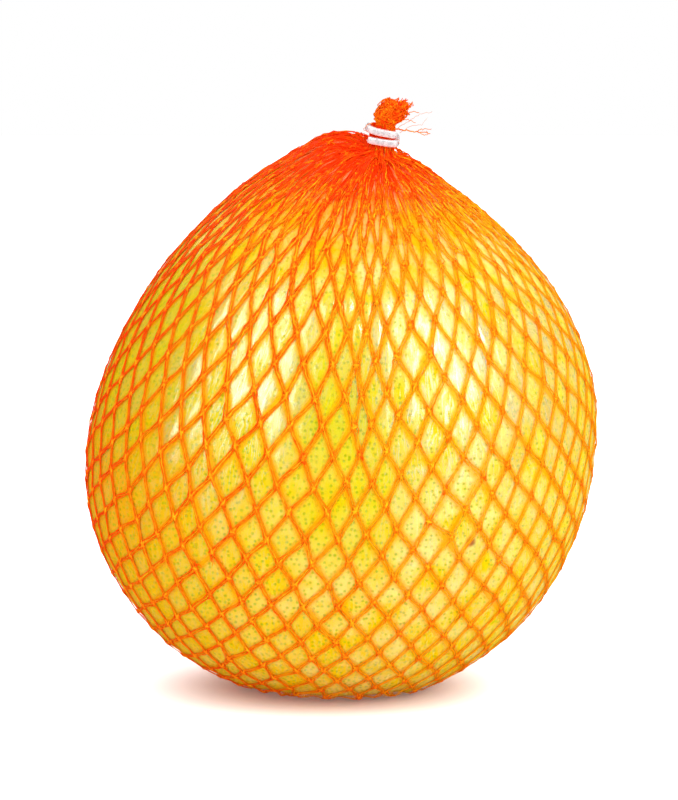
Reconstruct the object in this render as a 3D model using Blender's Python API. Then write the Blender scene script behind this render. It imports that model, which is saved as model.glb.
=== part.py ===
# A pomelo wrapped in clear film and a knitted net sleeve, with a crimped clip at each end of the net.
# Metres, +Z up, +X to the right, the fruit's front towards -Y.
# The origin is under the middle of the object, on the surface that it stands on.

from math import asin, cos, pi, radians, sin

import bmesh
import bpy
from mathutils import Matrix, Vector

# Wrapping, counted out from the fruit's skin
GAP = 0.0003                # clearance between two touching pieces
FILM_THICKNESS = 0.0003
NET_THICKNESS = 0.0009
FILM_GAP = GAP
NET_GAP = GAP + FILM_THICKNESS + GAP
SKIN_DEPTH = NET_GAP + NET_THICKNESS

# Bare fruit
BODY_RADIUS = 0.0757        # widest half-width
DEPTH_RATIO = 0.97          # front-to-back size against width
WAIST_HEIGHT = 0.0726       # height of the widest ring
TOP_RISE = 0.0942           # from the widest ring to the stem end
TOP_POWER = 1.5             # above 1 draws the shoulders in towards the stem
BASE_POWER = 2.05           # 2 is an ellipse, more is squarer
FLAT_RADIUS = 0.0285        # outer edge of the flat ring that the fruit stands on
FLAT_MARGIN = 0.0015        # keeps the flat ring level between its two soft edges
HOLLOW_RADIUS = 0.019       # blossom-end hollow inside that ring, which the wrapping spans
HOLLOW_DEPTH = 0.0052
LEAN_TOP = 0.0034           # sideways drift of the ring centres above and below the waist
LEAN_BASE = 0.0015
SHOULDER_RADIUS = 0.045     # inside this radius the rings move over to the stem end
STEM_OFFSET = Vector((0.0115, -0.0090, 0.0))
LOBES = ((2, 0.008, 0.6), (3, 0.005, 0.4), (5, 0.003, 1.0))    # waves round the fruit, size, phase

SEGMENTS = 36
HOLLOW_STEPS = 4
FLAT_STEPS = 2
BASE_STEPS = 7
TOP_STEPS = 14
WRAP_TOP_STEPS = 13         # rings of the top that the wrapping follows before it leaves for the neck

# Top neck of the wrapping: half-width, half-depth, height above the stem end
NECK_TILT_RIGHT = radians(9)
NECK_TILT_FRONT = radians(14)
TOP_NECK = (
    (0.0056, 0.0044, 0.0009),
    (0.0031, 0.0019, 0.0018),
    (0.0019, 0.0006, 0.0030),
    (0.0019, 0.0006, 0.0092),
    (0.0030, 0.0020, 0.0108),
    (0.0035, 0.0027, 0.0125),
    (0.0033, 0.0025, 0.0148),
)
FILM_NECK_RINGS = 5         # the film ends inside the net's tail

# Lower neck of the net, low on the back, counted in height above the skin there
LOWER_NECK_ROW = HOLLOW_STEPS + FLAT_STEPS + 2      # the ring and the step of its middle
LOWER_NECK_STEP = SEGMENTS // 4
LOWER_NECK_TURN = radians(68)                       # from straight down towards the back
LOWER_NECK_START = radians(-150)                    # where the patch's first corner joins the neck
LOWER_NECK_SHRINK = 0.5                             # a ring on the skin, between the tent's edge and the neck
LOWER_NECK = (
    (0.0056, 0.0044, 0.0014),
    (0.0031, 0.0019, 0.0026),
    (0.0019, 0.0006, 0.0038),
    (0.0019, 0.0006, 0.0100),
    (0.0030, 0.0020, 0.0116),
    (0.0032, 0.0024, 0.0136),
)

# Crimped clip: a flat wire bent one and a third times round the neck
WIRE_THICKNESS = 0.0014
WIRE_HEIGHT = 0.0021
CLIP_HALF_WIDTH = 0.0019 + SKIN_DEPTH + GAP + WIRE_THICKNESS / 2
CLIP_HALF_DEPTH = 0.0006 + SKIN_DEPTH + GAP + WIRE_THICKNESS / 2
CLIP_SQUARENESS = 3.0
CLIP_RISE = 0.0032          # from the first front bar up to the second
CLIP_DIP = 0.0006           # the second bar comes back down by this much along its length
CLIP_START = radians(222)
CLIP_FIRST_FRONT_END = radians(322)
CLIP_SECOND_FRONT_START = radians(578)
CLIP_END = radians(676)
CLIP_STEPS = 44
TOP_CLIP_HEIGHT = 0.0048    # middle of the first bar, above the stem end
BASE_CLIP_HEIGHT = 0.0056   # middle of the first bar, above the skin under the lower neck

NECK_AXIS = Vector((sin(NECK_TILT_RIGHT), -sin(NECK_TILT_FRONT), 1.0)).normalized()
NECK_RIGHT = Vector((NECK_AXIS.z, 0.0, -NECK_AXIS.x)).normalized()
NECK_BACK = NECK_AXIS.cross(NECK_RIGHT)
LOWER_AXIS = Vector((0.0, sin(LOWER_NECK_TURN), -cos(LOWER_NECK_TURN)))
LOWER_RIGHT = Vector((-1.0, 0.0, 0.0))
LOWER_BACK = LOWER_AXIS.cross(LOWER_RIGHT)


def smooth_step(value):
    value = min(max(value, 0.0), 1.0)
    return value * value * (3.0 - 2.0 * value)


def lean_at(height):
    """Sideways drift of the fruit's middle at a height."""
    rise = (height - WAIST_HEIGHT) / TOP_RISE
    return (LEAN_TOP if rise > 0 else LEAN_BASE) * sin(pi * rise)


def dome_height(radius):
    """Height of the fruit's top above a point at this distance from its middle."""
    return WAIST_HEIGHT + TOP_RISE * (1.0 - min(radius / BODY_RADIUS, 1.0) ** (2.0 / TOP_POWER)) ** 0.5


def fruit_ring(radius, height):
    """One ring. Near the top its middle moves over to the stem end, but its points stay on the dome."""
    on_top = height > WAIST_HEIGHT
    shift = STEM_OFFSET * (smooth_step(1.0 - radius / SHOULDER_RADIUS) if on_top else 0.0)
    points = []
    for step in range(SEGMENTS):
        angle = 2.0 * pi * step / SEGMENTS
        wave = 1.0 + sum(size * cos(count * angle + phase) for count, size, phase in LOBES)
        reach = shift + Vector((cos(angle), sin(angle), 0.0)) * radius
        level = dome_height(reach.length) if on_top and shift.length > 0 else height
        points.append(Vector((lean_at(level) + reach.x * wave, reach.y * wave * DEPTH_RATIO, level)))
    return points


def hollow_height(radius):
    return SKIN_DEPTH + HOLLOW_DEPTH * (1.0 + cos(pi * radius / HOLLOW_RADIUS)) / 2.0


def fruit_profile(hollow=True):
    """Radius and height of each ring, from the blossom end, over the flat ring, up to the stem end."""
    profile = []
    for step in range(1, HOLLOW_STEPS + 1):
        radius = HOLLOW_RADIUS * step / HOLLOW_STEPS
        profile.append((radius, hollow_height(radius) if hollow else SKIN_DEPTH))
    profile.append((HOLLOW_RADIUS + FLAT_MARGIN, SKIN_DEPTH))
    profile.append((FLAT_RADIUS - FLAT_MARGIN, SKIN_DEPTH))
    start = asin((FLAT_RADIUS / BODY_RADIUS) ** (BASE_POWER / 2.0))
    drop = (WAIST_HEIGHT - SKIN_DEPTH) / cos(start) ** (2.0 / BASE_POWER)
    for step in range(BASE_STEPS):
        angle = start + (pi / 2.0 - start) * step / BASE_STEPS
        radius = BODY_RADIUS * sin(angle) ** (2.0 / BASE_POWER)
        profile.append((radius, WAIST_HEIGHT - drop * cos(angle) ** (2.0 / BASE_POWER)))
    for step in range(TOP_STEPS):
        angle = pi / 2.0 * step / TOP_STEPS
        profile.append((BODY_RADIUS * cos(angle) ** TOP_POWER, WAIST_HEIGHT + TOP_RISE * sin(angle)))
    return profile


def neck_ring(centre, right, back, half_width, half_depth, count=SEGMENTS, start=0.0):
    points = []
    for step in range(count):
        angle = start + 2.0 * pi * step / count
        points.append(centre + right * half_width * cos(angle) + back * half_depth * sin(angle))
    return points


def mesh_from_rings(rings, low_pole=None, high_pole=None, rows=None):
    """Bands between rings that run round the same way. Each end is open, or is drawn to a pole."""
    mesh = bmesh.new()
    rows = [] if rows is None else rows
    rows += [[mesh.verts.new(point) for point in ring] for ring in rings]
    for lower, upper in zip(rows, rows[1:]):
        for step in range(SEGMENTS):
            after = (step + 1) % SEGMENTS
            mesh.faces.new((lower[step], lower[after], upper[after], upper[step]))
    for pole, row, outward in ((low_pole, rows[0], -1), (high_pole, rows[-1], 1)):
        if pole is None:
            continue
        tip = mesh.verts.new(pole)
        for step in range(SEGMENTS):
            pair = (row[step], row[(step + 1) % SEGMENTS])
            mesh.faces.new((pair[0], pair[1], tip) if outward > 0 else (pair[1], pair[0], tip))
    mesh.normal_update()
    return mesh


def push_out(mesh, distance):
    """Moves each point along its own normal, taking all the normals before any point moves."""
    normals = [vert.normal.copy() for vert in mesh.verts]
    for vert, normal in zip(mesh.verts, normals):
        vert.co += normal * distance


def add_object(name, mesh, material, smooth=True):
    data = bpy.data.meshes.new(name)
    mesh.to_mesh(data)
    mesh.free()
    if smooth:
        data.shade_smooth()
        data.set_sharp_from_angle(angle=radians(40))
    data.materials.append(material)
    item = bpy.data.objects.new(name, data)
    bpy.context.scene.collection.objects.link(item)
    return item


def add_material(name, colour, roughness, metallic=0.0, alpha=1.0):
    material = bpy.data.materials.new(name)
    material.use_nodes = True
    shader = material.node_tree.nodes["Principled BSDF"]
    shader.inputs["Base Color"].default_value = (*colour, 1.0)
    shader.inputs["Roughness"].default_value = roughness
    shader.inputs["Metallic"].default_value = metallic
    shader.inputs["Alpha"].default_value = alpha
    return material


def stem_point():
    height = dome_height(STEM_OFFSET.length)
    return STEM_OFFSET + Vector((lean_at(height), 0.0, height))


def base_point(hollow=True):
    height = SKIN_DEPTH + (HOLLOW_DEPTH if hollow else 0.0)
    return Vector((lean_at(height), 0.0, height))


def fruit_rings():
    return [fruit_ring(radius, height) for radius, height in fruit_profile()]


def wrapped_rings():
    """The rings that the wrapping follows: it lies flat under the hollow, and stops short of the stem end."""
    profile = fruit_profile(hollow=False)[: HOLLOW_STEPS + FLAT_STEPS + BASE_STEPS + WRAP_TOP_STEPS]
    return [fruit_ring(radius, height) for radius, height in profile]


def top_neck_rings(count):
    stem = stem_point()
    return [
        neck_ring(stem + NECK_AXIS * height, NECK_RIGHT, NECK_BACK, half_width, half_depth)
        for half_width, half_depth, height in TOP_NECK[:count]
    ]


def lower_neck_point():
    return fruit_ring(*fruit_profile()[LOWER_NECK_ROW])[LOWER_NECK_STEP]


def add_lower_neck(mesh, rows):
    """Opens a patch four steps wide and two rings tall, and draws its edge together into the lower neck."""
    row, step = LOWER_NECK_ROW, LOWER_NECK_STEP
    below, level, above = rows[row - 1], rows[row], rows[row + 1]
    edge = below[step - 2 : step + 3] + [level[step + 2]]
    edge += above[step - 2 : step + 3][::-1] + [level[step - 2]]
    bmesh.ops.delete(mesh, geom=level[step - 1 : step + 2], context="VERTS")
    middle = lower_neck_point()
    heart = Vector((middle.x, 0.0, WAIST_HEIGHT))
    shrunk = []
    for vert in edge:
        reach = (vert.co.lerp(middle, LOWER_NECK_SHRINK) - heart).normalized()
        distance = (vert.co - heart).length * (1.0 - LOWER_NECK_SHRINK)
        distance += (middle - heart).length * LOWER_NECK_SHRINK
        shrunk.append(heart + reach * distance)
    count = len(edge)
    rings = [shrunk]
    for half_width, half_depth, height in LOWER_NECK:
        centre = middle + LOWER_AXIS * height
        turned = (LOWER_RIGHT, LOWER_BACK, half_width, half_depth, count, LOWER_NECK_START)
        rings.append(neck_ring(centre, *turned))
    outer = edge
    for ring in rings:
        inner = [mesh.verts.new(point) for point in ring]
        for first in range(count):
            after = (first + 1) % count
            mesh.faces.new((outer[first], outer[after], inner[after], inner[first]))
        outer = inner
    mesh.normal_update()


def add_fruit():
    mesh = mesh_from_rings(fruit_rings(), base_point(), stem_point())
    return add_object("pomelo_fruit", mesh, add_material("peel", (0.90, 0.66, 0.05), 0.45))


def add_film():
    rings = wrapped_rings() + top_neck_rings(FILM_NECK_RINGS)
    mesh = mesh_from_rings(rings, low_pole=base_point(hollow=False))
    push_out(mesh, FILM_GAP)
    film = add_object("cling_film", mesh, add_material("clear_film", (0.95, 0.95, 0.92), 0.15, alpha=0.2))
    thicken(film, FILM_THICKNESS)
    return film


def add_net():
    rows = []
    rings = wrapped_rings() + top_neck_rings(len(TOP_NECK))
    mesh = mesh_from_rings(rings, low_pole=base_point(hollow=False), rows=rows)
    add_lower_neck(mesh, rows)
    push_out(mesh, NET_GAP)
    net = add_object("net_sleeve", mesh, add_material("net_yarn", (0.95, 0.27, 0.02), 0.5))
    thicken(net, NET_THICKNESS)
    return net


def thicken(item, thickness):
    wall = item.modifiers.new("wall", "SOLIDIFY")
    wall.thickness = thickness
    wall.offset = 1.0


def clip_path_point(angle):
    """A point on the middle of the wire, with the clip's own axis along Z."""
    power = 2.0 / CLIP_SQUARENESS
    across, along = cos(angle), sin(angle)
    x = CLIP_HALF_WIDTH * abs(across) ** power * (1 if across >= 0 else -1)
    y = CLIP_HALF_DEPTH * abs(along) ** power * (1 if along >= 0 else -1)
    turned = (angle - CLIP_FIRST_FRONT_END) / (CLIP_SECOND_FRONT_START - CLIP_FIRST_FRONT_END)
    along_second = max(0.0, (angle - CLIP_SECOND_FRONT_START) / (CLIP_END - CLIP_SECOND_FRONT_START))
    return Vector((x, y, CLIP_RISE * smooth_step(turned) - CLIP_DIP * along_second))


def wire_section():
    """Corners of the flat wire: thickness outward, height along the clip's axis, corners cut off."""
    out, up = WIRE_THICKNESS / 2.0, WIRE_HEIGHT / 2.0
    cut = 0.3 * out
    return [
        (out, -up + cut), (out, up - cut), (out - cut, up), (cut - out, up),
        (-out, up - cut), (-out, cut - up), (cut - out, -up), (out - cut, -up),
    ]


def clip_mesh():
    mesh = bmesh.new()
    rows = []
    for step in range(CLIP_STEPS + 1):
        angle = CLIP_START + (CLIP_END - CLIP_START) * step / CLIP_STEPS
        before, after = clip_path_point(angle - 0.01), clip_path_point(angle + 0.01)
        run = (after - before).normalized()
        outward = run.cross(Vector((0, 0, 1))).normalized()
        upward = outward.cross(run)
        centre = clip_path_point(angle)
        rows.append([mesh.verts.new(centre + outward * out + upward * up) for out, up in wire_section()])
    corners = len(rows[0])
    for first, second in zip(rows, rows[1:]):
        for step in range(corners):
            after = (step + 1) % corners
            mesh.faces.new((first[step], second[step], second[after], first[after]))
    mesh.faces.new(rows[0])
    mesh.faces.new(list(reversed(rows[-1])))
    bmesh.ops.recalc_face_normals(mesh, faces=mesh.faces)
    return mesh


def add_clip(name, place, material):
    mesh = clip_mesh()
    mesh.transform(place)
    return add_object(name, mesh, material)


def clip_places():
    """Each clip's place, round its neck and square to the neck's axis."""
    top_turn = Matrix((NECK_RIGHT, NECK_BACK, NECK_AXIS)).transposed().to_4x4()
    base_turn = Matrix((LOWER_RIGHT, LOWER_BACK, LOWER_AXIS)).transposed().to_4x4()
    return {
        "top_clip": Matrix.Translation(stem_point() + NECK_AXIS * TOP_CLIP_HEIGHT) @ top_turn,
        "base_clip": Matrix.Translation(lower_neck_point() + LOWER_AXIS * BASE_CLIP_HEIGHT) @ base_turn,
    }


def centre_on_origin(items):
    """Moves the meshes sideways so that the whole object's box is centred on the origin."""
    bpy.context.view_layer.update()
    shown = bpy.context.evaluated_depsgraph_get()
    corners = [Vector(corner) for item in items for corner in item.evaluated_get(shown).bound_box]
    middle_x = (min(c.x for c in corners) + max(c.x for c in corners)) / 2.0
    middle_y = (min(c.y for c in corners) + max(c.y for c in corners)) / 2.0
    floor = min(c.z for c in corners)
    for item in items:
        item.data.transform(Matrix.Translation((-middle_x, -middle_y, -floor)))


def build():
    for item in list(bpy.data.objects):
        bpy.data.objects.remove(item)
    aluminium = add_material("aluminium", (0.80, 0.81, 0.82), 0.35, metallic=1.0)
    items = [add_fruit(), add_film(), add_net()]
    items += [add_clip(name, place, aluminium) for name, place in clip_places().items()]
    centre_on_origin(items)


build()
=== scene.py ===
from math import atan2, cos, pi, radians, sin, sqrt, tan, tau

import bpy
import numpy as np
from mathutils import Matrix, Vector, noise
from mathutils.bvhtree import BVHTree


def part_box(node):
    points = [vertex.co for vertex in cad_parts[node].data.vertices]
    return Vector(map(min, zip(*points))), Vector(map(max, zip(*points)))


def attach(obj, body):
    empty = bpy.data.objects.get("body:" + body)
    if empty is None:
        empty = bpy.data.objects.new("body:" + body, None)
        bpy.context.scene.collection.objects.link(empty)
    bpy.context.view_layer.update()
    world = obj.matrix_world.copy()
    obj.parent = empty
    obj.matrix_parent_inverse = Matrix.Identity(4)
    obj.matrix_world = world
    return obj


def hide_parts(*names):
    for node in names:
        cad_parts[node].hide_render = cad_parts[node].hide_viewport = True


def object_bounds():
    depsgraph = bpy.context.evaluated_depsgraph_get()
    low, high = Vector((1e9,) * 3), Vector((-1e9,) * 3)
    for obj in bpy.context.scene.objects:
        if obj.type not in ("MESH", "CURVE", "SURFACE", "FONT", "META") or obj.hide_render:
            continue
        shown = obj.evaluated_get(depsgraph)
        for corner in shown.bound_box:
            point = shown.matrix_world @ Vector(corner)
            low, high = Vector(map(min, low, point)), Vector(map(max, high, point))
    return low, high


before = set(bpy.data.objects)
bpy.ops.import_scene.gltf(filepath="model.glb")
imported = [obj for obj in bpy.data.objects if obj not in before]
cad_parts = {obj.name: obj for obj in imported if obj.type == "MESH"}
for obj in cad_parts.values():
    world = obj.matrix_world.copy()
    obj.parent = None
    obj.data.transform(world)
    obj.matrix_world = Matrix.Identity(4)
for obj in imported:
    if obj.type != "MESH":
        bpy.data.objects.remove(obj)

# A pomelo in clear film and an orange net sleeve. Metres, +Z up, the fruit's front towards -Y.
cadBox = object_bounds()
cadHeight = cadBox[1].z - cadBox[0].z


def smoothStep(value):
    value = np.clip(value, 0.0, 1.0)
    return value * value * (3.0 - 2.0 * value)


def between(low, high, share):
    return low + (high - low) * share


def unit(vectors):
    return vectors / np.maximum(np.linalg.norm(vectors, axis=-1, keepdims=True), 1e-12)


def onlySelect(item):
    bpy.ops.object.select_all(action="DESELECT")
    item.select_set(True)
    bpy.context.view_layer.objects.active = item


def applyAll(item):
    onlySelect(item)
    for modifier in list(item.modifiers):
        bpy.ops.object.modifier_apply(modifier=modifier.name)


def meshPiece(name, points, faces, material):
    data = bpy.data.meshes.new(name)
    data.from_pydata(np.asarray(points).reshape(-1, 3).tolist(), [], np.asarray(faces).tolist())
    data.validate()
    data.shade_smooth()
    data.materials.append(material)
    item = bpy.data.objects.new(name, data)
    bpy.context.scene.collection.objects.link(item)
    return item


def pointValues(item, name, values):
    layer = item.data.attributes.new(name, "FLOAT", "POINT")
    layer.data.foreach_set("value", np.asarray(values, dtype=np.float32).ravel())


def pointVectors(item, name, values):
    layer = item.data.attributes.new(name, "FLOAT_VECTOR", "POINT")
    layer.data.foreach_set("vector", np.asarray(values, dtype=np.float32).ravel())


class Paint:
    # adds nodes to one node tree and joins them
    def __init__(self, tree):
        self.nodes, self.links = tree.nodes, tree.links

    def add(self, kind, **values):
        node = self.nodes.new("ShaderNode" + kind)
        for key, value in values.items():
            if hasattr(node, key):
                setattr(node, key, value)
            else:
                node.inputs[key].default_value = value
        return node

    def join(self, value, socket):
        # the value is a number, a colour or what another node puts out
        if isinstance(value, (int, float)):
            socket.default_value = value
        elif isinstance(value, tuple):
            socket.default_value = (*value, 1.0)
        else:
            self.links.new(value, socket)

    def math(self, operation, *values, clamp=False):
        node = self.add("Math", operation=operation, use_clamp=clamp)
        for socket, value in zip(node.inputs, values):
            self.join(value, socket)
        return node.outputs[0]

    def mix(self, share, first, second):
        node = self.add("Mix", data_type="RGBA")
        for number, value in ((0, share), (6, first), (7, second)):
            self.join(value, node.inputs[number])
        return node.outputs[2]

    def ramp(self, source, stops):
        node = self.add("ValToRGB")
        band = node.color_ramp
        while len(band.elements) < len(stops):
            band.elements.new(0.5)
        for element, (place, colour) in zip(band.elements, stops):
            element.position = place
            element.color = (*colour, 1.0) if isinstance(colour, tuple) else (colour, colour, colour, 1.0)
        self.join(source, node.inputs[0])
        return node.outputs[0]

    def cloudy(self, vector, scale, detail, roughness, distortion=0.0):
        node = self.add("TexNoise", Scale=scale, Detail=detail, Roughness=roughness, Distortion=distortion)
        self.join(vector, node.inputs["Vector"])
        return node.outputs["Fac"]

    def split(self, vector):
        node = self.add("SeparateXYZ")
        self.join(vector, node.inputs[0])
        return node.outputs

    def onObject(self):
        return self.add("TexCoord").outputs["Object"]

    def attribute(self, name, kind="Fac"):
        return self.add("Attribute", attribute_name=name).outputs[kind]

    def distance(self, place, point):
        node = self.add("VectorMath", operation="DISTANCE")
        self.join(place, node.inputs[0])
        node.inputs[1].default_value = point
        return node.outputs["Value"]

    def bump(self, height, strength, distance, shader):
        node = self.add("Bump", Strength=strength, Distance=distance)
        self.join(height, node.inputs["Height"])
        self.join(node.outputs["Normal"], shader.inputs["Normal"])


def newMaterial(name):
    material = bpy.data.materials.new(name)
    material.use_nodes = True
    return material, Paint(material.node_tree), material.node_tree.nodes["Principled BSDF"]


peelColours = {
    "yellow": (0.80, 0.50, 0.001),
    "fresh": (0.775, 0.60, 0.002),
    "pale": (0.885, 0.76, 0.25),          # pale cream patches, mostly on the right: partly paler skin, partly a painted highlight laid where the lamps are mirrored
    "leftShade": (0.76, 0.32, 0.001),        # painted shade on the left flank, a deeper orange
    "green": (0.60, 0.55, 0.001),
    "golden": (0.85, 0.50, 0.001),
    "gland": (0.33, 0.39, 0.001),
    "underNet": (0.90, 0.22, 0.003),     # where light reaches the skin only through gathered yarn
    "speck": (0.30, 0.060, 0.004),
    "glandSpacing": 0.0018, "glandDepth": 0.85,
    "greenSpots": (((-0.006, -0.070, 0.088), 0.050, 1.15), ((-0.058, -0.040, 0.108), 0.042, 0.85)),
    "netReach": 0.056,
    "speckAt": (0.0378, -0.0609, 0.0530), "speckReach": 0.0024,
    "glow": (1.0, 0.42, 0.05), "glowReach": 0.0035, "glowShare": 0.5,
    # noise on the skin: scale, detail, roughness
    "patches": (30.0, 4.0, 0.55), "mottle": (95.0, 3.0, 0.55), "fine": (150.0, 4.0, 0.6),
    # from the left side to the right: how much of the pale colour shows, partly as painted highlight, and
    # how much of the painted shade on the left flank
    "paleSheenAcross": [(0.0, 0.08), (0.33, 0.38), (0.55, 0.95), (0.76, 0.80), (0.92, 0.10)],
    "leftShadeAcross": [(0.0, 1.0), (0.12, 0.90), (0.36, 0.0)],
    "dotEdge": [(0.0, 1.0), (0.14, 0.9), (0.31, 0.0)],
    "relief": 0.0004, "reliefStrength": 0.35, "roughness": 0.45, "shine": 0.01,
}


def nearPoint(paint, place, point, reach):
    # 1 at the point, falling to 0 at the given distance
    share = paint.math("DIVIDE", paint.distance(place, point), reach)
    return paint.math("SUBTRACT", 1.0, share, clamp=True)


def glandField(paint, place, spacing):
    # evenly spread dots: a flat pattern from each of three sides, blended by which way the skin faces
    axes = paint.split(paint.add("TexCoord").outputs["Normal"])
    spots = paint.split(place)
    shares, dots = [], []
    for axis, (across, up) in (("X", ("Y", "Z")), ("Y", ("X", "Z")), ("Z", ("X", "Y"))):
        flat = paint.add("CombineXYZ")
        paint.join(spots[across], flat.inputs[0])
        paint.join(spots[up], flat.inputs[1])
        cells = paint.add("TexVoronoi", voronoi_dimensions="2D", Scale=1.0 / spacing, Randomness=0.75)
        paint.join(flat.outputs[0], cells.inputs["Vector"])
        dots.append(paint.ramp(cells.outputs["Distance"], peelColours["dotEdge"]))
        shares.append(paint.math("POWER", paint.math("ABSOLUTE", axes[axis]), 6.0))
    total = paint.math("ADD", paint.math("ADD", shares[0], shares[1]), shares[2])
    field = paint.math("MULTIPLY", shares[0], dots[0])
    for share, dot in zip(shares[1:], dots[1:]):
        field = paint.math("MULTIPLY_ADD", share, dot, field)
    return paint.math("DIVIDE", field, total)


def peelMaterial():
    look = peelColours
    material, paint, shader = newMaterial("peel")
    place = paint.onObject()
    where = paint.split(place)
    patches, fine, mottle = [paint.cloudy(place, *look[name]) for name in ("patches", "fine", "mottle")]

    greenness = paint.math("MULTIPLY_ADD", patches, 1.8, -0.95)
    for spot, reach, depth in look["greenSpots"]:
        greenness = paint.math("MULTIPLY_ADD", nearPoint(paint, place, spot, reach), depth, greenness)
    greenness = paint.math("MULTIPLY", greenness, 1.0, clamp=True)

    low = paint.math("MULTIPLY_ADD", where["Z"], -1.6 / cadHeight, 0.75, clamp=True)
    across = paint.math("MULTIPLY_ADD", where["X"], 6.0, 0.5, clamp=True)
    # pale patches, partly a painted highlight where the lamps are mirrored, mostly right of the middle
    paleAndSheen = paint.math("MULTIPLY_ADD", mottle, 5.0, -2.1, clamp=True)
    paleAndSheen = paint.math("MULTIPLY", paleAndSheen, paint.math("SUBTRACT", 1.0, greenness))
    paleAndSheen = paint.math("MULTIPLY", paleAndSheen, paint.ramp(across, look["paleSheenAcross"]))
    base = paint.mix(fine, look["yellow"], look["fresh"])
    base = paint.mix(paleAndSheen, base, look["pale"])
    # painted shade: the left flank turns a deeper orange
    base = paint.mix(paint.ramp(across, look["leftShadeAcross"]), base, look["leftShade"])
    base = paint.mix(paint.math("MULTIPLY", low, 0.8), base, look["golden"])
    base = paint.mix(paint.math("MULTIPLY", greenness, 0.85), base, look["green"])

    dots = glandField(paint, place, look["glandSpacing"])
    shown = paint.math("MULTIPLY", dots, look["glandDepth"])
    shown = paint.math("MULTIPLY", shown, paint.math("MULTIPLY_ADD", fine, 2.4, -0.38, clamp=True))
    base = paint.mix(shown, base, look["gland"])
    underNet = nearPoint(paint, place, tuple(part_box("top_clip")[0]), look["netReach"])
    base = paint.mix(paint.math("MULTIPLY", underNet, 1.4, clamp=True), base, look["underNet"])
    speck = nearPoint(paint, place, look["speckAt"], look["speckReach"])
    base = paint.mix(paint.math("MULTIPLY", speck, 2.6, clamp=True), base, look["speck"])
    paint.join(base, shader.inputs["Base Color"])

    relief = paint.math("MULTIPLY_ADD", dots, -0.9, fine)
    paint.bump(relief, look["reliefStrength"], look["relief"], shader)
    shader.inputs["Roughness"].default_value = look["roughness"]
    shader.inputs["Specular IOR Level"].default_value = look["shine"]
    shader.inputs["Subsurface Weight"].default_value = look["glowShare"]
    shader.inputs["Subsurface Radius"].default_value = look["glow"]
    shader.inputs["Subsurface Scale"].default_value = look["glowReach"]
    return material


filmColours = {
    "gloss": (1.0, 0.97, 0.86),
    "veilAndSheen": (0.955, 0.93, 0.60),           # air between the film and the skin looks milk-white; in the sheen bands this is a painted highlight
    "yarnLight": (0.90, 0.36, 0.003),       # painted light: the orange glow close beside a strand, standing in for light through and off the yarn
    # painted light: in the gather the film turns an opaque, glowing red in the shade between the strands
    "gathered": (0.97, 0.10, 0.003),
    # how much the film mirrors: everywhere, where it is slack, on a ridge and on a fine wrinkle
    "clear": 0.002, "slack": 0.16, "ridge": 0.08, "line": 0.06,
    "wrinkle": 1.3, "veilShare": 0.30, "yarnLightShare": 0.50,
    # strength of the painted glow beside strands and in the gather
    "glow": 0.25,
    "lightThrough": 0.5,                  # the share of its shade that the film does not cast
    "roughness": 0.28, "creaseRoughness": 0.19, "shine": 0.02, "relief": 0.00018,
    # noise on the film: scale, detail, roughness, distortion
    "patches": (0.9, 3.0, 0.6, 0.4), "ripples": (7.0, 2.5, 0.6, 0.6), "waves": (6.0, 1.2, 0.5, 0.3),
    "wrinkleLevels": (0.40, 0.52, 0.64), "wrinkleWide": 0.03,
    # away from a strand: how much painted yarn light, how puffed up and how clear of the yarn the film is
    "yarnLightEdge": [(0.0, 1.0), (0.18, 0.85), (0.42, 0.0)],
    "puffedEdge": [(0.0, 0.0), (0.30, 0.75), (0.75, 1.0)],
    "clearEdge": [(0.12, 0.0), (0.50, 1.0)],
}


def netCells(paint):
    # how far a point lies from the nearest strand, a number for its cell, and its lattice coordinates
    lattice = paint.add("UVMap", uv_map="cells").outputs[0]
    cell = paint.split(lattice)
    own = paint.add("CombineXYZ")
    away = []
    for i, operation in enumerate(("ADD", "SUBTRACT")):
        course = paint.math(operation, cell["X"], cell["Y"])
        away.append(paint.math("PINGPONG", course, 1.0))
        paint.join(paint.math("FLOOR", paint.math("MULTIPLY", course, 0.5)), own.inputs[i])
    luck = paint.add("TexWhiteNoise", noise_dimensions="2D")
    paint.join(own.outputs[0], luck.inputs["Vector"])
    return paint.math("MINIMUM", *away), luck.outputs["Value"], lattice


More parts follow.
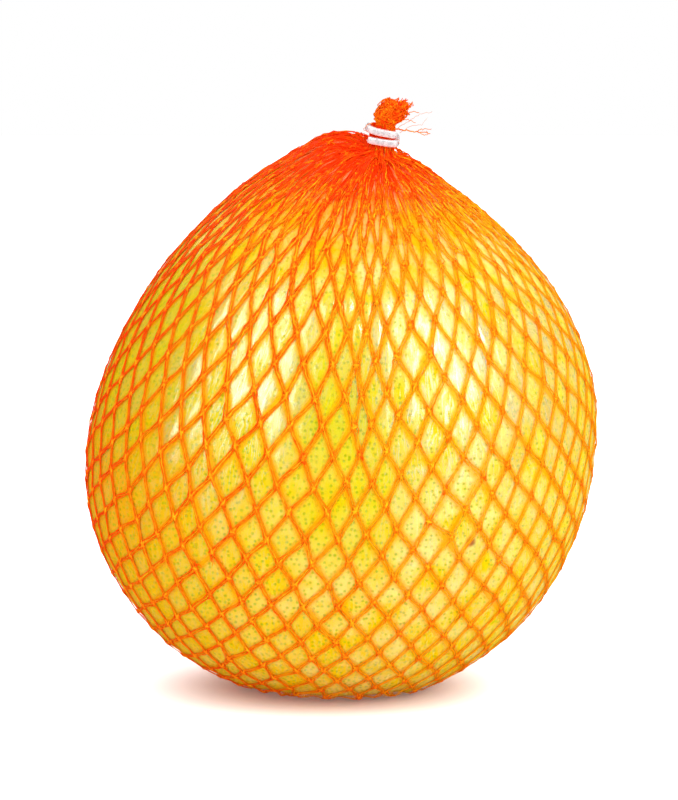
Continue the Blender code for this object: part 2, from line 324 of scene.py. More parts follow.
def filmMaterial():
    # a thin glossy skin: it mirrors the lights a little, is milk-white where it stands off and clear
    # otherwise; it also carries a painted highlight in two bands, painted orange light beside strands and a
    # painted red glow in the gather
    look = filmColours
    material, paint, shader = newMaterial("clearFilm")
    crease, gathered, slack, milkAndSheen = [paint.attribute(name) for name in ("crease", "gatherGlow", "slack", "milkAndSheen")]
    flow = paint.attribute("flow", "Vector")
    fromStrand, luck, lattice = netCells(paint)
    yarnLight = paint.ramp(fromStrand, look["yarnLightEdge"])
    puffed = paint.ramp(fromStrand, look["puffedEdge"])
    clearOf = paint.ramp(fromStrand, look["clearEdge"])

    standsOff = paint.math("MULTIPLY_ADD", paint.cloudy(lattice, *look["patches"]), 2.6, -1.72)
    standsOff = paint.math("MULTIPLY_ADD", luck, 1.2, standsOff, clamp=True)
    standsOff = paint.math("MULTIPLY", standsOff, clearOf)
    stops = [(0.0, 0.0)]
    for level in look["wrinkleLevels"]:
        stops += [(level - look["wrinkleWide"], 0.0), (level, 1.0), (level + look["wrinkleWide"], 0.0)]
    thin = paint.ramp(paint.cloudy(flow, *look["ripples"]), stops)

    gloss = paint.math("MULTIPLY_ADD", crease, look["ridge"], paint.math("MULTIPLY", thin, look["line"]))
    loose = paint.math("MULTIPLY_ADD", standsOff, 1.0, 0.06)
    gloss = paint.math("MULTIPLY_ADD", loose, look["slack"], gloss)
    gloss = paint.math("MULTIPLY_ADD", gloss, slack, look["clear"])
    # the film's milk-white share, partly painted highlight
    veilAndSheen = paint.math("MULTIPLY_ADD", paint.math("MULTIPLY", thin, clearOf), look["wrinkle"], standsOff)
    veilAndSheen = paint.math("MULTIPLY", paint.math("MULTIPLY", veilAndSheen, milkAndSheen), look["veilShare"])
    # painted light: orange beside each strand, where the strand's shade would fall
    beside = paint.math("MULTIPLY", yarnLight, look["yarnLightShare"])
    beside = paint.math("MULTIPLY", beside, paint.math("MULTIPLY_ADD", milkAndSheen, -0.55, 1.25, clamp=True))
    matt = paint.math("ADD", paint.math("ADD", veilAndSheen, beside), gathered)
    alpha = paint.math("ADD", gloss, matt)

    shading = paint.add("LightPath").outputs["Is Shadow Ray"]
    shading = paint.math("MULTIPLY_ADD", shading, -look["lightThrough"], 1.0)
    shown = paint.math("MULTIPLY", paint.math("MINIMUM", alpha, 1.0), shading)
    paint.join(shown, shader.inputs["Alpha"])
    mirrored = paint.math("DIVIDE", gloss, alpha, clamp=True)
    paint.join(mirrored, shader.inputs["Metallic"])
    colour = paint.mix(paint.math("DIVIDE", beside, matt), look["veilAndSheen"], look["yarnLight"])
    colour = paint.mix(paint.math("DIVIDE", gathered, matt), colour, look["gathered"])
    colour = paint.mix(paint.math("POWER", mirrored, 2.0), colour, look["gloss"])
    paint.join(colour, shader.inputs["Base Color"])

    height = paint.math("MULTIPLY_ADD", paint.cloudy(flow, *look["waves"]), 2.4, puffed)
    paint.bump(height, 1.0, look["relief"], shader)
    # painted glow: the orange beside strands and the red in the gather give off light of their own
    glow = paint.mix(yarnLight, (0.0, 0.0, 0.0), look["yarnLight"])
    glow = paint.mix(gathered, glow, look["gathered"])
    paint.join(glow, shader.inputs["Emission Color"])
    shader.inputs["Emission Strength"].default_value = look["glow"]
    smoother = look["creaseRoughness"] - look["roughness"]
    rough = paint.math("MULTIPLY_ADD", crease, smoother, look["roughness"])
    paint.join(paint.math("MAXIMUM", rough, look["creaseRoughness"]), shader.inputs["Roughness"])
    shader.inputs["Specular IOR Level"].default_value = look["shine"]
    return material


yarnColours = {
    "pale": (0.90, 0.45, 0.010),
    "orange": (0.87, 0.23, 0.004),
    "deep": (0.83, 0.098, 0.003),
    "red": (0.88, 0.036, 0.002),
    "outline": (0.40, 0.075, 0.001),     # the strands' shaded sides
    "outlineEdge": [(0.50, 0.0), (0.95, 0.55)],
    "glow": 0.13,                        # light that comes through the thin plastic
    "speck": (1100.0, 3.0, 0.6), "relief": 0.0002, "reliefStrength": 0.4, "roughness": 0.5, "shine": 0.01,
}


def yarnMaterial():
    look = yarnColours
    material, paint, shader = newMaterial("netYarn")
    place = paint.onObject()
    speck = paint.cloudy(place, *look["speck"])
    sideOn = paint.add("LayerWeight", Blend=0.5).outputs["Facing"]
    tone = paint.math("MULTIPLY_ADD", speck, 1.2, paint.attribute("tone"))
    # painted shade: each filament turns deeper towards its sides, and on the right the sides darken to the
    # outline colour
    tone = paint.math("MULTIPLY_ADD", sideOn, 0.35, tone)
    tone = paint.math("SUBTRACT", tone, 0.79, clamp=True)
    stops = [(0.0, look["pale"]), (0.35, look["orange"]), (0.68, look["deep"]), (1.0, look["red"])]
    shaded = paint.math("MULTIPLY_ADD", paint.split(place)["X"], 11.0, 0.35, clamp=True)
    shaded = paint.math("MULTIPLY", shaded, paint.ramp(sideOn, look["outlineEdge"]))
    colour = paint.mix(shaded, paint.ramp(tone, stops), look["outline"])
    paint.join(colour, shader.inputs["Base Color"])
    paint.join(colour, shader.inputs["Emission Color"])
    shader.inputs["Emission Strength"].default_value = look["glow"]
    paint.bump(speck, look["reliefStrength"], look["relief"], shader)
    opaque = paint.math("SUBTRACT", 1.0, paint.attribute("sheer"), clamp=True)
    paint.join(opaque, shader.inputs["Alpha"])
    shader.inputs["Roughness"].default_value = look["roughness"]
    shader.inputs["Specular IOR Level"].default_value = look["shine"]
    return material


clipLook = {
    "scuffs": (1400.0, 4.0, 0.7), "dull": (0.62, 0.62, 0.65), "bright": (0.97, 0.97, 0.98),
    "relief": 0.0001, "reliefStrength": 0.3, "metallic": 0.35, "levels": 2,
}


def clipMaterial():
    look = clipLook
    material, paint, shader = newMaterial("clipMetal")
    scuffs = paint.cloudy(paint.onObject(), *look["scuffs"])
    colour = paint.ramp(scuffs, [(0.34, look["dull"]), (0.56, look["bright"])])
    paint.join(colour, shader.inputs["Base Color"])
    paint.join(paint.math("MULTIPLY_ADD", scuffs, 0.25, 0.22), shader.inputs["Roughness"])
    paint.bump(scuffs, look["reliefStrength"], look["relief"], shader)
    shader.inputs["Metallic"].default_value = look["metallic"]
    return material


peelShape = {
    "levels": 2, "swell": 0.0004,
    "waveSize": 0.035, "waveHeight": 0.0012, "dentSize": 0.006, "dentHeight": 0.0003,
}
mergeWithin = 0.000001      # corners nearer than this are one corner


def cadCopy(node, name, levels, clearSharp=False):
    # a CAD node's mesh as a piece of its own, merged, in quads and ready to be rounded
    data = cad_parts[node].data.copy()
    data.materials.clear()
    item = bpy.data.objects.new(name, data)
    bpy.context.scene.collection.objects.link(item)
    onlySelect(item)
    bpy.ops.mesh.customdata_custom_splitnormals_clear()
    bpy.ops.object.mode_set(mode="EDIT")
    bpy.ops.mesh.select_all(action="SELECT")
    bpy.ops.mesh.remove_doubles(threshold=mergeWithin)
    bpy.ops.mesh.tris_convert_to_quads(face_threshold=radians(40), shape_threshold=radians(60))
    if clearSharp:
        bpy.ops.mesh.mark_sharp(clear=True)
    bpy.ops.object.mode_set(mode="OBJECT")
    smooth = item.modifiers.new("round", "SUBSURF")
    smooth.levels = smooth.render_levels = levels
    return item


def makePeel():
    peel = cadCopy("pomelo_fruit", "pomelo_peel", peelShape["levels"], clearSharp=True)
    swell = peel.modifiers.new("swell", "DISPLACE")
    swell.strength, swell.mid_level = peelShape["swell"], 0.0
    for name in ("wave", "dent"):
        texture = bpy.data.textures.new(name, "CLOUDS")
        texture.noise_scale = peelShape[name + "Size"]
        uneven = peel.modifiers.new(name, "DISPLACE")
        uneven.texture = texture
        uneven.texture_coords = "LOCAL"
        uneven.strength, uneven.mid_level = peelShape[name + "Height"], 0.5
    applyAll(peel)
    peel.data.shade_smooth()
    peel.data.materials.append(peelMaterial())
    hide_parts("pomelo_fruit")
    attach(peel, "root")
    return peel


wrapShape = {
    "around": 144, "along": 190, "coreHeight": 0.47,
    "leaveTop": 0.080, "leaveBase": 0.085,
    "tiltRight": radians(9), "tiltFront": radians(14), "lowerTurn": radians(68),
    "middleFront": radians(20), "middleRight": radians(3.4),
    "neckWidth": 0.0031, "neckDepth": 0.0018, "clipHalf": 0.0031,
    "flatRadius": 0.0295, "hollowDepth": 0.012,
}


class Neck:
    # a gathered end: where its clip is, which way it runs, and its oval section
    def __init__(self, clipNode, axis):
        low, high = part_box(clipNode)
        self.middle = (low + high) / 2
        self.axis = axis.normalized()
        self.right = Vector((abs(self.axis.z), 0.0, -self.axis.x)).normalized()
        self.back = self.right.cross(self.axis) * (-1 if axis.z > 0 else 1)

    def ring(self, height, width, depth, angles):
        centre = self.middle + self.axis * height
        across = np.outer(np.cos(angles), np.array(self.right)) * width
        return np.array(centre) + across + np.outer(np.sin(angles), np.array(self.back)) * depth


def topNeck():
    tilt = Vector((sin(wrapShape["tiltRight"]), -sin(wrapShape["tiltFront"]), 1.0))
    return Neck("top_clip", tilt)


def baseNeck():
    turn = wrapShape["lowerTurn"]
    return Neck("base_clip", Vector((0.0, sin(turn), -cos(turn))))


def fillet(ringFrom, ringBefore, ringTo, axis, steps, reach):
    # rings that leave the fruit smoothly and turn along the neck
    leave = unit(ringFrom - ringBefore) * reach
    arrive = np.array(axis) * reach
    rings = []
    for step in range(1, steps + 1):
        t = step / steps
        rings.append(
            (1 - t) ** 3 * ringFrom
            + 3 * (1 - t) ** 2 * t * (ringFrom + leave)
            + 3 * (1 - t) * t ** 2 * (ringTo - arrive)
            + t ** 3 * ringTo
        )
    return rings


class Wrap:
    # rings of points from the base up to the top, and what can be read from them
    def __init__(self, rings):
        self.rings = np.array(rings)
        self.count, self.around = self.rings.shape[:2]
        along = np.gradient(self.rings, axis=0)
        across = np.roll(self.rings, -1, axis=1) - np.roll(self.rings, 1, axis=1)
        self.normals = unit(np.cross(across, along))
        self.centres = self.rings.mean(axis=1)
        steps = np.linalg.norm(np.roll(self.rings, -1, axis=1) - self.rings, axis=2)
        self.radius = steps.sum(axis=1) / tau
        rises = np.linalg.norm(np.diff(self.rings, axis=0), axis=2).mean(axis=1)
        self.run = np.concatenate([[0.0], np.cumsum(rises)])

    def read(self, table, angle, row):
        # a value between rings and between the points of a ring
        row = np.clip(row, 0.0, self.count - 1.001)
        place = np.mod(angle / tau, 1.0) * self.around
        low, left = np.floor(row).astype(int), np.floor(place).astype(int) % self.around
        up, side = (row - low)[..., None], (place - np.floor(place))[..., None]
        right = (left + 1) % self.around
        lower = between(table[low, left], table[low, right], side)
        upper = between(table[low + 1, left], table[low + 1, right], side)
        return between(lower, upper, up)

    def point(self, angle, row):
        return self.read(self.rings, angle, row)

    def normal(self, angle, row):
        return unit(self.read(self.normals, angle, row))

    def radiusAt(self, row):
        return np.interp(row, np.arange(self.count), self.radius)

    def rowAt(self, distance):
        return np.interp(distance, self.run, np.arange(self.count))


def throughThree(low, middle, high, share):
    # a smooth curve that has these values at 0, 0.5 and 1
    return (
        low * (share - 0.5) * (share - 1) * 2
        - middle * share * (share - 1) * 4
        + high * share * (share - 0.5) * 2
    )


def ringAngles():
    return np.linspace(0.004, pi - wrapShape["leaveTop"], wrapShape["along"])


def fruitRings(peel):
    # rays from the fruit's heart find its skin, on rings that turn from one gathered end to the other
    points = [vertex.co for vertex in peel.data.vertices]
    tree = BVHTree.FromPolygons(points, [tuple(face.vertices) for face in peel.data.polygons])
    low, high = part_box("pomelo_fruit")
    coreHeight = between(low.z, high.z, wrapShape["coreHeight"])
    core = Vector(((low.x + high.x) / 2, (low.y + high.y) / 2, coreHeight))
    top, base = topNeck(), baseNeck()
    upward = tree.ray_cast(top.middle, -top.axis)[0] - core
    downward = core - tree.ray_cast(base.middle, -base.axis)[0]
    fronts = atan2(-downward.y, downward.z), wrapShape["middleFront"], atan2(-upward.y, upward.z)
    rights = atan2(downward.x, downward.z), wrapShape["middleRight"], atan2(upward.x, upward.z)
    rings = []
    for angle in ringAngles():
        front, right = throughThree(*fronts, angle / pi), throughThree(*rights, angle / pi)
        turn = Vector((0, 0, 1)).rotation_difference(Vector((tan(right), -tan(front), 1.0)))
        ring = []
        for step in range(wrapShape["around"]):
            side = tau * step / wrapShape["around"]
            ray = turn @ Vector((sin(angle) * cos(side), sin(angle) * sin(side), -cos(angle)))
            ring.append(tree.ray_cast(core, ray)[0])
        rings.append(ring)
    return spanHollow(np.array(rings))


def spanHollow(rings):
    # the wrapping lies flat under the blossom end instead of going up into its hollow
    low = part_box("pomelo_fruit")[0]
    inside = np.hypot(rings[..., 0], rings[..., 1]) < wrapShape["flatRadius"]
    underneath = inside & (rings[..., 2] < low.z + wrapShape["hollowDepth"])
    rings[..., 2] = np.where(underneath, low.z, rings[..., 2])
    return rings


def liftRings(rings, lift):
    return rings + Wrap(rings).normals * lift


def wrapAround(skin, lift, width, depth, withLowerNeck):
    # the fruit's rings lifted off its skin, carried on through the gathered ends
    angles = np.linspace(0.0, tau, wrapShape["around"], endpoint=False)
    rings = list(liftRings(skin, lift))
    top, half = topNeck(), wrapShape["clipHalf"]
    neckFoot = top.ring(-half, width, depth, angles)
    rings += fillet(rings[-1], rings[-2], neckFoot, top.axis, 8, 0.0016)
    rings += [top.ring(height, width, depth, angles) for height in np.linspace(-half, half, 7)[1:]]
    if withLowerNeck:
        base = baseNeck()
        rings = rings[int(np.searchsorted(ringAngles(), wrapShape["leaveBase"])):]
        neckTop = base.ring(-half, width, depth, angles)
        lower = fillet(rings[0], rings[1], neckTop, base.axis, 6, 0.0016)
        heights = np.linspace(-half, half * 0.75, 5)[1:]
        lower += [base.ring(height, width, depth, angles) for height in heights]
        rings = lower[::-1] + rings
    return Wrap(rings)


def tubes(points, normals, halfWide, halfHigh, twist, tone, sheer=0.0):
    # flat four-sided tubes, one for each row of points, closed at both ends
    count, steps = points.shape[:2]
    run = unit(np.gradient(points, axis=1))
    side = unit(np.cross(run, normals))
    up = np.cross(side, run)
    turn = np.broadcast_to(twist, (count, steps))[..., None]
    sideways, upward = side * np.cos(turn) + up * np.sin(turn), up * np.cos(turn) - side * np.sin(turn)
    wide = np.broadcast_to(halfWide, (count, steps))[..., None]
    high = np.broadcast_to(halfHigh, (count, steps))[..., None]
    corners = np.stack([sideways * wide, upward * high, -sideways * wide, -upward * high], axis=2)
    verts = (points[:, :, None, :] + corners).reshape(-1, 3)
    index = np.arange(count * steps * 4).reshape(count, steps, 4)
    after = np.roll(index, -1, axis=2)
    walls = np.stack([index[:, :-1], index[:, 1:], after[:, 1:], after[:, :-1]], axis=-1).reshape(-1, 4)
    ends = np.concatenate([index[:, 0], index[:, -1, ::-1]])
    looks = np.stack([np.broadcast_to(look, (count, steps)) for look in (tone, sheer)], axis=-1)
    return verts, np.concatenate([walls, ends]), np.repeat(looks.reshape(-1, 2), 4, axis=0)


def joinTubes(parts):
    verts, faces, looks, start = [], [], [], 0
    for points, quads, look in parts:
        verts.append(points)
        faces.append(quads + start)
        looks.append(look)
        start += len(points)
    return np.concatenate(verts), np.concatenate(faces), np.concatenate(looks)


def yarnPiece(name, parts, material):
    verts, faces, looks = joinTubes(parts)
    piece = meshPiece(name, verts, faces, material)
    pointValues(piece, "tone", looks[:, 0])
    pointValues(piece, "sheer", looks[:, 1])
    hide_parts("net_sleeve")
    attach(piece, "root")
    return piece


netShape = {
    "cells": 45, "strand": 0.0081, "lift": 0.00036,
    "twist": (-0.403, 0.072, 0.007),              # round the fruit, against the angle from the lower end
    "swingSide": -0.0115, "swingFront": -0.0086,  # how far the rows rise and fall round the fruit
    "columnSwing": 0.096,
    "pairGap": 0.00050,          # from a knot's middle to the middle of each of its two strands
    # half the width of a strand's edge and middle filaments, and of all of them in the gather
    "edgeWide": 0.00017, "middleWide": 0.00033, "gatheredWide": 0.00023,
    "filamentHigh": 0.00012,     # half their height
    "uneven": 0.22,              # how much their width and their place vary, as a share of each
    "sideWide": (1.06, 0.80), "farLeftWide": 0.25,   # wider at the left, narrower at the right
    # high up, where the ring is smaller than this, strands are wider and their filaments farther apart
    "crowdFrom": 0.068, "crowdOver": 0.020, "crowdedWide": 0.36, "crowdedApart": 0.20,
    "pleats": 15, "pleatFrom": 0.030, "pleatLift": 0.0018, "pleatPull": 0.50,
    "flushFrom": 0.041, "flushAll": 0.006,           # gathered yarn reddens from one radius to the other
    # a slack fold: angle, its width, radius, its width, height
    "shoulder": (3.0, 0.6, 0.013, 0.007, 0.0018),
    "loose": 0.058,              # how far a knot strays, as a share of a cell
    "bunch": (4.78, 0.27, 0.088, 0.66, 0.13),     # crowded columns: angle, width, pull, share up, its width
    "middleSheer": (0.28, 0.84),   # at the left and at the right
    "flat": (0.47, 0.27), "yarnShare": 0.30,      # the sleeve laid flat, and its share as yarn
    "breakAt": (-0.0405, -0.0592, 0.0455),
    "seed": 7,
}
strandSteps = (0.0, 0.13, 0.30, 0.50, 0.70, 0.87)
strandMoves = (0.0, 0.03, 0.22, 0.50, 0.78, 0.97)
filamentSpread = (0.00036, 0.00054, 0.00045, 0.00035, 0.00045, 0.00054)
perStrand = len(strandSteps)
yarnTones = {
    # painted shade: deeper yarn in the valleys of the pleats and at the far left
    "plain": 0.08, "edge": 0.36, "rise": 0.10, "foldShade": 0.52, "farLeft": 0.26,
    "flush": (0.70, 0.42),      # in the gather: a strand's middle and its edges
    "sides": (0.30, -0.14),     # at the left and at the right: painted shade, deeper at the left and paler at the right
}


def netRows(wrap):
    # rows of knots, as far apart as strands of one length allow on a ring of that size
    distances = [wrap.run[-1] - wrapShape["clipHalf"]]
    while distances[-1] > wrapShape["clipHalf"]:
        row = wrap.rowAt(distances[-1] - netShape["strand"] / 2)
        half = wrap.radiusAt(row) * pi / netShape["cells"]
        step = sqrt(max(netShape["strand"] ** 2 - half ** 2, (0.4 * netShape["strand"]) ** 2))
        distances.append(distances[-1] - step)
    distances[-1] = max(distances[-1], 0.0005)
    return np.array(distances)


class Net:
    def __init__(self, wrap):
        self.wrap = wrap
        self.levels = netRows(wrap)
        self.rows = wrap.rowAt(self.levels)
        self.columns = 2 * netShape["cells"]
        draw = np.random.default_rng(netShape["seed"])
        size = (len(self.rows), self.columns)
        sideways = draw.normal(0.0, netShape["loose"], size) * pi / netShape["cells"] * 2
        gaps = np.abs(np.gradient(self.rows))[:, None]
        column = np.arange(self.columns) * pi / netShape["cells"] + sideways
        row = self.rows[:, None] + draw.normal(0.0, netShape["loose"], size) * gaps
        row = row + self.unevenRows(draw) * gaps
        self.knotAngle, self.knotRow = self.settle(column, row)
        self.draw = draw

    def unevenRows(self, draw):
        # near the gathered ends the rows no longer lie in neat rings
        turn = np.arange(self.columns) * pi / netShape["cells"]
        wave = 0.34 * np.sin(3 * turn + 1.0) + 0.30 * np.sin(8 * turn + 2.3) + 0.26 * np.sin(17 * turn)
        wave = wave + draw.normal(0.0, 0.22, self.columns)
        near = smoothStep((0.050 - self.wrap.radiusAt(self.rows)) / 0.034)
        return near[:, None] * wave[None, :]

    def twist(self, share):
        first, second, third = netShape["twist"]
        return first * share + second * share ** 2 + third * share ** 3

    def swing(self, angle):
        return netShape["swingSide"] * np.sin(angle) + netShape["swingFront"] * np.cos(angle)

    def cellAt(self, angle, row):
        # lattice coordinates: strands lie where their sum or their difference is an even number
        level = np.interp(row, np.arange(self.wrap.count), self.wrap.run)
        share = np.clip(level / self.wrap.run[-1], 0.0, 1.0) * pi
        bump = np.sin(share) ** 2
        column = angle + self.twist(share) + netShape["columnSwing"] * np.cos(angle) * bump
        column = column + self.bunchAt(angle, share)
        numbers = np.arange(len(self.levels))
        rows = np.interp(level + self.swing(angle) * bump, self.levels[::-1], numbers[::-1])
        return column * netShape["cells"] / pi, rows

    def bunchAt(self, angle, share):
        # how far the columns are drawn together, high on the front
        turn, width, pull, middle, reach = netShape["bunch"]
        beside = (np.mod(angle - turn + pi, tau) - pi) / width
        return pull * beside * np.exp(-beside ** 2 - ((share / pi - middle) / reach) ** 2)

    def settle(self, column, row):
        # where a knot of the slightly twisted and lopsided net lies on the wrap
        run = np.interp(row, np.arange(self.wrap.count), self.wrap.run)
        level, angle = run.copy(), column.copy()
        for _ in range(6):
            share = np.clip(level / self.wrap.run[-1], 0.0, 1.0) * pi
            bump = np.sin(share) ** 2
            angle = column - self.twist(share) - netShape["columnSwing"] * np.cos(angle) * bump
            level = run - self.swing(angle) * bump
        angle = angle - self.bunchAt(angle, np.clip(level / self.wrap.run[-1], 0.0, 1.0) * pi)
        return angle, self.wrap.rowAt(level)

    def rowLength(self, row):
        return np.interp(row, np.arange(self.wrap.count), np.gradient(self.wrap.run))

    def flush(self, radius):
        # 0 on the body, rising to 1 where the yarn is crowded and looks redder
        return smoothStep((netShape["flushFrom"] - radius) / (netShape["flushFrom"] - netShape["flushAll"]))

    def gathered(self, row):
        # 0 on the body, rising to 1 at either gathered end
        near = wrapShape["neckWidth"]
        share = (netShape["pleatFrom"] - self.wrap.radiusAt(row)) / (netShape["pleatFrom"] - near)
        return smoothStep(share)

    def foldWave(self, angle):
        return netShape["pleats"] * angle + 1.3 * np.sin(2 * angle + 0.7) + 0.8 * np.sin(5 * angle)

    def place(self, angle, row, inward=0.0, extra=0.0):
        # a point of the net, with the folds that form towards the gathered ends
        pull = self.gathered(row)
        wave = self.foldWave(angle)
        angle = angle + pull * netShape["pleatPull"] / netShape["pleats"] * np.sin(wave)
        point = self.wrap.point(angle, row)
        normal = self.wrap.normal(angle, row)
        tight = smoothStep((0.009 - self.wrap.radiusAt(row)) / 0.005)
        fold = netShape["pleatLift"] * pull * (1 - tight) * (0.5 - 0.5 * np.cos(wave)) ** 2
        turn, width, radius, reach, height = netShape["shoulder"]
        besideFold = (np.mod(angle - turn + pi, tau) - pi) / width
        fromFold = (self.wrap.radiusAt(row) - radius) / reach
        upper = row > self.wrap.count / 2
        fold = fold + height * upper * np.exp(-besideFold ** 2 - fromFold ** 2)
        rings = np.arange(self.wrap.count)
        centre = np.stack([np.interp(row, rings, self.wrap.centres[:, i]) for i in range(3)], -1)
        point = point + normal * (fold + extra)[..., None]
        share = (1 - tight * inward)[..., None]
        return centre + (point - centre) * share, normal


def netChains(net):
    # each chain runs from knot to knot, swinging left and right between two columns
    rows, columns = len(net.rows), net.columns
    row, chain = np.meshgrid(np.arange(rows), np.arange(columns), indexing="ij")
    onRight = (chain + row) % 2 == 1
    column = chain + onRight
    side = np.where(onRight, -1.0, 1.0)
    wrapped = column // columns * tau
    angle = net.knotAngle[row, column % columns] + wrapped
    level = net.knotRow[row, column % columns]
    pair = side * netShape["pairGap"] / np.maximum(net.wrap.radiusAt(level), 0.004)
    angle = angle + pair
    angles, levels, spreads = [], [], []
    for step, move, spread in zip(strandSteps, strandMoves, filamentSpread):
        angles.append(between(angle[:-1], angle[1:], move))
        levels.append(between(level[:-1], level[1:], step))
        spreads.append(np.full(angles[-1].shape, spread))
    angles = np.stack(angles, axis=1).reshape(-1, columns).T
    levels = np.stack(levels, axis=1).reshape(-1, columns).T
    spreads = np.stack(spreads, axis=1).reshape(-1, columns).T
    return angles, levels, spreads


def brokenStrand(points):
    # the chain and the steps of the one strand that has snapped
    middles = points[:, perStrand // 2::perStrand]
    apart = np.linalg.norm(middles - np.array(netShape["breakAt"]), axis=2)
    chain, row = np.unravel_index(np.argmin(apart), apart.shape)
    return chain, row * perStrand + 1, (row + 1) * perStrand - 1


def netParts(angles, broken):
    # which chains and which of their steps each piece of the net holds
    count, steps = angles.shape
    half = steps // 2 // perStrand * perStrand
    onLeft = np.cos(np.arange(count) * tau / count) < 0.0
    chain, lastBefore, firstAfter = broken
    parts = {}
    for level, whole in (("upper", slice(0, half + 1)), ("lower", slice(half, steps))):
        for side, members in (("left", onLeft), ("right", ~onLeft)):
            blocks = [(np.flatnonzero(members), whole)]
            if members[chain] and whole.start <= lastBefore < whole.stop:
                blocks = [(np.flatnonzero(members & (np.arange(count) != chain)), whole)]
                blocks.append((np.array([chain]), slice(whole.start, lastBefore + 1)))
                blocks.append((np.array([chain]), slice(firstAfter, whole.stop)))
            parts[f"net_{level}_{side}"] = blocks
    return parts


def frayedEnds(net, angles, levels, broken, draw):
    # the curled ends of the strand that snapped
    chain, lastBefore, firstAfter = broken
    parts = []
    for step, way in ((lastBefore, -1.0), (firstAfter, 1.0)):
        radius = net.wrap.radiusAt(levels[chain, step])
        perMetre = net.rowLength(levels[chain, step])
        for _ in range(5):
            share = np.linspace(0.0, 1.0, 9)
            heading, curl = draw.uniform(-0.9, 0.9) + pi / 2 * way, draw.uniform(-2.4, 2.4)
            reach = draw.uniform(0.0012, 0.0032)
            turn = heading + curl * share
            across = np.cumsum(np.cos(turn)) * reach / 9 + draw.uniform(-0.0003, 0.0003)
            down = np.cumsum(np.sin(turn)) * reach / 9
            angle = angles[chain, step] + across / radius
            level = levels[chain, step] + down / perMetre
            point, normal = net.place(angle, level, 0.0, 0.0002 + 0.0005 * share)
            thick = draw.uniform(0.00012, 0.00024) * (1 - 0.5 * share)
            parts.append(tubes(point[None], normal[None], thick[None], thick[None] * 0.7, 0.0, 0.80))
    return parts


def makeNet(net, material):
    angles, levels, spreads = netChains(net)
    draw = net.draw
    count, steps = angles.shape
    inward = draw.uniform(0.0, 0.75, (count, 1)) ** 1.2
    layer = draw.uniform(0.0, 1.0, (count, 1))
    pull = net.gathered(levels)
    radius = net.wrap.radiusAt(levels)
    flush = net.flush(radius)
    phase = np.cos(np.arange(steps) / perStrand * tau)[None, :] * (1 - pull)
    weave = np.where(np.arange(steps) % 2 == 0, 1.0, -1.0)[None, :]
    # painted shade: the yarn is deeper in the valleys of the pleats
    foldShade = (0.5 + 0.5 * np.cos(net.foldWave(angles))) ** 2 * pull
    strandSize = np.repeat(draw.uniform(0.62, 1.12, (count, steps // perStrand)), perStrand, axis=1)
    spreads = spreads * strandSize
    crowded = smoothStep((netShape["crowdFrom"] - radius) / netShape["crowdOver"])
    crowded = crowded * (levels > net.wrap.count / 2)
    spreads = spreads * (1 + netShape["crowdedApart"] * crowded * (1 - flush))
    broken = brokenStrand(net.place(angles, levels)[0])
    atRight = smoothStep(0.5 + 0.9 * np.cos(angles))
    farLeft = smoothStep((-np.cos(angles) - 0.78) / 0.18) * (1 - flush)
    blocks = netParts(angles, broken)
    parts = {name: [] for name in blocks}
    for way in (-1.0, 0.0, 1.0):
        edge = abs(way)
        rough = draw.normal(0.0, 1.0, (count, steps))
        lift = 0.00004 * phase + layer * 0.0009 * pull
        lift = lift + (0.00005 + 0.00013 * flush) * rough + 0.00006 * edge
        point, normal = net.place(angles, levels, inward, lift)
        side = unit(np.cross(unit(np.gradient(point, axis=1)), normal))
        apart = spreads * (way + netShape["uneven"] * weave * (1 - edge))
        apart = apart + spreads * netShape["uneven"] * draw.normal(0.0, 1.0, (count, steps))
        point = point + side * apart[..., None]
        twist = 0.25 * draw.normal(0.0, 1.0, (count, steps)) + way * 0.15
        wide = between(netShape["middleWide"], netShape["edgeWide"], edge)
        wide = between(wide, netShape["gatheredWide"], flush)
        wide = wide * (1 + netShape["uneven"] * draw.normal(0.0, 1.0, (count, steps)))
        own = draw.normal(0.0, 0.08, (count, 1)) + 0.09 * draw.normal(0.0, 1.0, (count, steps))
        own = own * (1 + 1.7 * flush)
        wide = wide * between(0.75, 1.0, (strandSize - 0.62) / 0.5)
        wide = wide * (between(*netShape["sideWide"], atRight) + netShape["farLeftWide"] * farLeft)
        wide = wide * (1 + netShape["crowdedWide"] * crowded * (1 - 0.5 * flush))
        tone = yarnTones["plain"] + yarnTones["edge"] * edge + own + yarnTones["rise"] * phase
        tone = tone + between(*yarnTones["flush"], edge) * flush + yarnTones["foldShade"] * foldShade
        # painted shade: deeper yarn on the left and at the far left, paler on the right
        tone = tone + between(*yarnTones["sides"], atRight) + yarnTones["farLeft"] * farLeft
        sheer = between(*netShape["middleSheer"], atRight) * (1 - edge) * (1 - smoothStep(flush * 3))
        for name, pieces in blocks.items():
            for chains, part in pieces:
                parts[name].append(tubes(
                    point[chains, part], normal[chains, part], wide[chains, part],
                    netShape["filamentHigh"], twist[chains, part], tone[chains, part], sheer[chains, part],
                ))
    parts["net_lower_left"] += frayedEnds(net, angles, levels, broken, draw)
    pieces = []
    for name, group in parts.items():
        piece = yarnPiece(name, group, material)
        pieces.append(piece)
    pieces.append(makeKnots(net, material))
    return pieces


